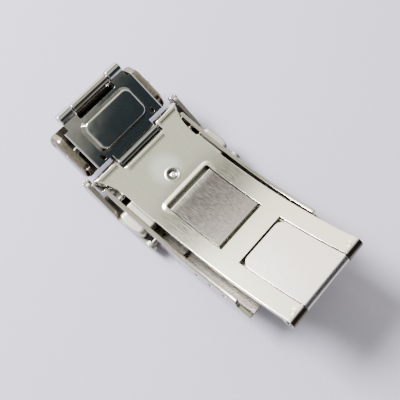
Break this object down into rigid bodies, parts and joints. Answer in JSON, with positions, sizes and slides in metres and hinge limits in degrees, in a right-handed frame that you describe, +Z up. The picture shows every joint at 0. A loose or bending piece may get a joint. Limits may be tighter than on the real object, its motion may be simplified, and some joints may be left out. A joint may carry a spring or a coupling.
{
  "type": "deployant clasp",
  "caption": "Fold-over deployant clasp for a metal watch bracelet: curved cover, two folding blades, side push buttons, safety latch and a fold-out extension link.",
  "frame": {"origin": "middle of the bounding box in plan, at the level of the clasp's lowest point", "axes": "+X along the band from the extension end to the fold hinge, +Y across the band, +Z up from the outer face to the wrist side"},
  "size_m": [0.0502, 0.0226, 0.0152],
  "materials": {
    "cover_steel": "fine satin outside, polished rim",
    "blade_steel": "brushed along the band",
    "polished_steel": "mirror polished",
    "button_steel": "satin",
    "pin_steel": "ground bright",
    "inner_steel": "as stamped",
    "spring_steel": "drawn wire"
  },
  "bodies": {
    "cover": {"cover_shell": "cover_steel", "latch_housing": "inner_steel", "housing_lid": "inner_steel", "cover_hinge_pin": "pin_steel", "latch_pivot_pins": "pin_steel"},
    "inner_blade": {"inner_blade": "blade_steel"},
    "outer_blade": {"outer_blade": "blade_steel", "fold_hinge_pin": "pin_steel", "hinge_lock_studs": "blade_steel", "catch_stud": "polished_steel", "extension_hinge_pin": "pin_steel"},
    "safety_latch": {"safety_latch": "cover_steel", "latch_snap_pegs": "pin_steel"},
    "button_left": {"button_left": "button_steel", "slide_left": "inner_steel", "spring_left": "spring_steel"},
    "button_right": {"button_right": "button_steel", "slide_right": "inner_steel", "spring_right": "spring_steel"},
    "extension_plate": {"extension_plate": "polished_steel", "swing_link_pin": "pin_steel"},
    "swing_link": {"swing_link": "polished_steel"},
    "end_link": {"end_link": "polished_steel", "end_link_pin": "pin_steel"}
  },
  "joints": [
    {"name": "inner_blade_hinge", "type": "hinge", "parent": "cover", "child": "inner_blade", "pos_m": [-0.01149, 0, 0.0036], "axis": [0, -1, 0], "range_deg": [0, 155]},
    {"name": "outer_blade_hinge", "type": "hinge", "parent": "inner_blade", "child": "outer_blade", "pos_m": [0.02406, 0, 0.01398], "axis": [0, 1, 0], "range_deg": [0, 155]},
    {"name": "safety_latch_hinge", "type": "hinge", "parent": "cover", "child": "safety_latch", "pos_m": [-0.00079, 0, 0.00212], "axis": [0, -1, 0], "range_deg": [0, 95]},
    {"name": "button_left_slide", "type": "slide", "parent": "cover", "child": "button_left", "axis": [0, 1, 0], "range_m": [0, 0.0008], "stiffness_N_per_m": 1500, "springref_m": -0.0006, "deforming": ["spring_left"]},
    {"name": "button_right_slide", "type": "slide", "parent": "cover", "child": "button_right", "axis": [0, -1, 0], "range_m": [0, 0.0008], "stiffness_N_per_m": 1500, "springref_m": -0.0006, "deforming": ["spring_right"]},
    {"name": "extension_hinge", "type": "hinge", "parent": "outer_blade", "child": "extension_plate", "pos_m": [-0.01344, 0, 0.00613], "axis": [0, 1, 0], "range_deg": [0, 60]},
    {"name": "swing_link_hinge", "type": "hinge", "parent": "extension_plate", "child": "swing_link", "pos_m": [-0.02367, 0, 0.01168], "axis": [0, 1, 0], "range_deg": [0, 158]},
    {"name": "end_link_hinge", "type": "hinge", "parent": "swing_link", "child": "end_link", "pos_m": [-0.02003, 0, 0.00723], "axis": [0, 1, 0], "range_deg": [-158, 0]}
  ],
  "couplings": [
    {"joint": "outer_blade_hinge", "follows": "inner_blade_hinge", "ratio": 1},
    {"joint": "end_link_hinge", "follows": "swing_link_hinge", "ratio": -1}
  ]
}
